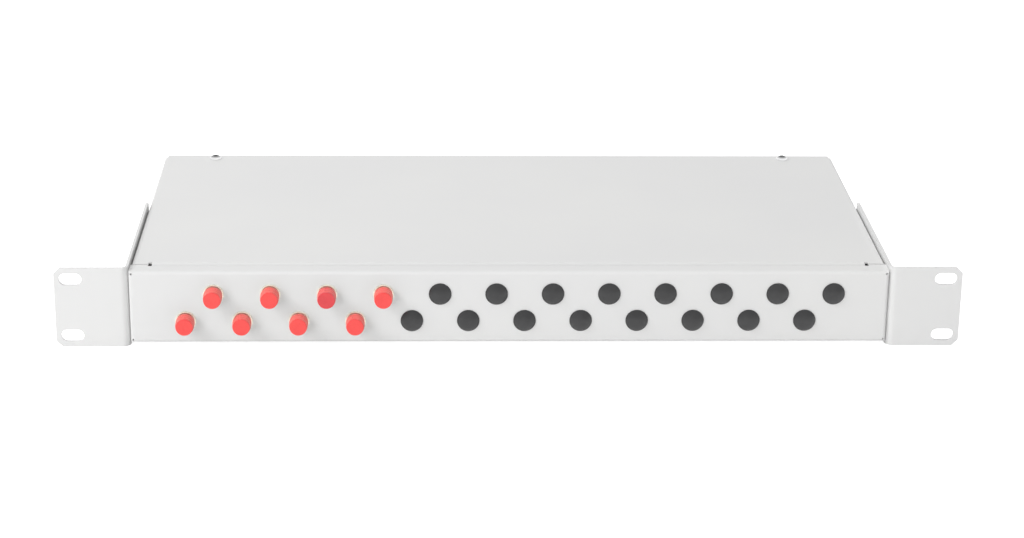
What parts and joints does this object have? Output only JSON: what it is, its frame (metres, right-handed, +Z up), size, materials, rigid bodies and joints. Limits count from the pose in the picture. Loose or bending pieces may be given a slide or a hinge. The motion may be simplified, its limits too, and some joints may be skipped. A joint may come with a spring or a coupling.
{
  "type": "fibre patch panel",
  "caption": "Rack-mounted fibre patch panel: shallow folded steel body with ears, staggered rows of round ports holding capped adapters and blanking plugs.",
  "frame": {"origin": "centre of the front face, which is the centre of the four rack slots, in the plane of the ears' front faces", "axes": "+X along the panel's width to the right as seen from the front, +Y back into the rack, +Z up"},
  "size_m": [0.4826, 0.2331, 0.0446],
  "materials": {
    "powder_coat": "fine satin powder coat, light grey",
    "zinc_steel": "bright zinc plate",
    "plated_brass": "nickel-plated brass, pale warm",
    "ceramic": "polished zirconia, white",
    "red_plastic": "soft moulded plastic, coral red",
    "plug_plastic": "satin moulded plastic, charcoal",
    "black_nylon": "moulded nylon, black",
    "seal_rubber": "soft rubber, black",
    "tray_plastic": "moulded plastic, pale grey",
    "clear_plastic": "clear moulded plastic"
  },
  "bodies": {
    "panel": {"front_panel": "powder_coat", "base_tray": "powder_coat", "cover": "powder_coat", "left_bracket": "powder_coat", "right_bracket": "powder_coat", "cover_screws": "zinc_steel", "bracket_screws": "zinc_steel", "bracket_spacers": "zinc_steel", "bracket_nuts": "zinc_steel", "cover_nuts": "zinc_steel", "tray_screws": "zinc_steel", "clamp_screws": "zinc_steel", "member_clamps": "zinc_steel", "ground_stud": "zinc_steel", "ground_washers": "zinc_steel", "ground_nuts": "zinc_steel", "tray_posts": "zinc_steel", "adapter_washers": "plated_brass", "adapter_nuts": "plated_brass", "split_sleeves": "ceramic", "inner_dust_caps": "red_plastic", "gland_bodies": "black_nylon", "gland_cap_nuts": "black_nylon", "gland_lock_nuts": "black_nylon", "gland_seals": "seal_rubber", "splice_tray": "tray_plastic", "tray_lid": "clear_plastic", "fibre_guides": "tray_plastic", "adapter_1": "plated_brass", "adapter_2": "plated_brass", "adapter_3": "plated_brass", "adapter_4": "plated_brass", "adapter_5": "plated_brass", "adapter_6": "plated_brass", "adapter_7": "plated_brass", "adapter_8": "plated_brass"},
    "cap_1": {"dust_cap_1": "red_plastic"},
    "cap_2": {"dust_cap_2": "red_plastic"},
    "cap_3": {"dust_cap_3": "red_plastic"},
    "cap_4": {"dust_cap_4": "red_plastic"},
    "cap_5": {"dust_cap_5": "red_plastic"},
    "cap_6": {"dust_cap_6": "red_plastic"},
    "cap_7": {"dust_cap_7": "red_plastic"},
    "cap_8": {"dust_cap_8": "red_plastic"},
    "plug_1": {"blank_plug_1": "plug_plastic"},
    "plug_2": {"blank_plug_2": "plug_plastic"},
    "plug_3": {"blank_plug_3": "plug_plastic"},
    "plug_4": {"blank_plug_4": "plug_plastic"},
    "plug_5": {"blank_plug_5": "plug_plastic"},
    "plug_6": {"blank_plug_6": "plug_plastic"},
    "plug_7": {"blank_plug_7": "plug_plastic"},
    "plug_8": {"blank_plug_8": "plug_plastic"},
    "plug_9": {"blank_plug_9": "plug_plastic"},
    "plug_10": {"blank_plug_10": "plug_plastic"},
    "plug_11": {"blank_plug_11": "plug_plastic"},
    "plug_12": {"blank_plug_12": "plug_plastic"},
    "plug_13": {"blank_plug_13": "plug_plastic"},
    "plug_14": {"blank_plug_14": "plug_plastic"},
    "plug_15": {"blank_plug_15": "plug_plastic"},
    "plug_16": {"blank_plug_16": "plug_plastic"}
  },
  "joints": [
    {"name": "cap_1_pull", "type": "slide", "parent": "panel", "child": "cap_1", "axis": [0, -1, 0], "range_m": [0, 0.01]},
    {"name": "cap_2_pull", "type": "slide", "parent": "panel", "child": "cap_2", "axis": [0, -1, 0], "range_m": [0, 0.01]},
    {"name": "cap_3_pull", "type": "slide", "parent": "panel", "child": "cap_3", "axis": [0, -1, 0], "range_m": [0, 0.01]},
    {"name": "cap_4_pull", "type": "slide", "parent": "panel", "child": "cap_4", "axis": [0, -1, 0], "range_m": [0, 0.01]},
    {"name": "cap_5_pull", "type": "slide", "parent": "panel", "child": "cap_5", "axis": [0, -1, 0], "range_m": [0, 0.01]},
    {"name": "cap_6_pull", "type": "slide", "parent": "panel", "child": "cap_6", "axis": [0, -1, 0], "range_m": [0, 0.01]},
    {"name": "cap_7_pull", "type": "slide", "parent": "panel", "child": "cap_7", "axis": [0, -1, 0], "range_m": [0, 0.01]},
    {"name": "cap_8_pull", "type": "slide", "parent": "panel", "child": "cap_8", "axis": [0, -1, 0], "range_m": [0, 0.01]},
    {"name": "plug_1_pull", "type": "slide", "parent": "panel", "child": "plug_1", "axis": [0, -1, 0], "range_m": [0, 0.01]},
    {"name": "plug_2_pull", "type": "slide", "parent": "panel", "child": "plug_2", "axis": [0, -1, 0], "range_m": [0, 0.01]},
    {"name": "plug_3_pull", "type": "slide", "parent": "panel", "child": "plug_3", "axis": [0, -1, 0], "range_m": [0, 0.01]},
    {"name": "plug_4_pull", "type": "slide", "parent": "panel", "child": "plug_4", "axis": [0, -1, 0], "range_m": [0, 0.01]},
    {"name": "plug_5_pull", "type": "slide", "parent": "panel", "child": "plug_5", "axis": [0, -1, 0], "range_m": [0, 0.01]},
    {"name": "plug_6_pull", "type": "slide", "parent": "panel", "child": "plug_6", "axis": [0, -1, 0], "range_m": [0, 0.01]},
    {"name": "plug_7_pull", "type": "slide", "parent": "panel", "child": "plug_7", "axis": [0, -1, 0], "range_m": [0, 0.01]},
    {"name": "plug_8_pull", "type": "slide", "parent": "panel", "child": "plug_8", "axis": [0, -1, 0], "range_m": [0, 0.01]},
    {"name": "plug_9_pull", "type": "slide", "parent": "panel", "child": "plug_9", "axis": [0, -1, 0], "range_m": [0, 0.01]},
    {"name": "plug_10_pull", "type": "slide", "parent": "panel", "child": "plug_10", "axis": [0, -1, 0], "range_m": [0, 0.01]},
    {"name": "plug_11_pull", "type": "slide", "parent": "panel", "child": "plug_11", "axis": [0, -1, 0], "range_m": [0, 0.01]},
    {"name": "plug_12_pull", "type": "slide", "parent": "panel", "child": "plug_12", "axis": [0, -1, 0], "range_m": [0, 0.01]},
    {"name": "plug_13_pull", "type": "slide", "parent": "panel", "child": "plug_13", "axis": [0, -1, 0], "range_m": [0, 0.01]},
    {"name": "plug_14_pull", "type": "slide", "parent": "panel", "child": "plug_14", "axis": [0, -1, 0], "range_m": [0, 0.01]},
    {"name": "plug_15_pull", "type": "slide", "parent": "panel", "child": "plug_15", "axis": [0, -1, 0], "range_m": [0, 0.01]},
    {"name": "plug_16_pull", "type": "slide", "parent": "panel", "child": "plug_16", "axis": [0, -1, 0], "range_m": [0, 0.01]}
  ]
}
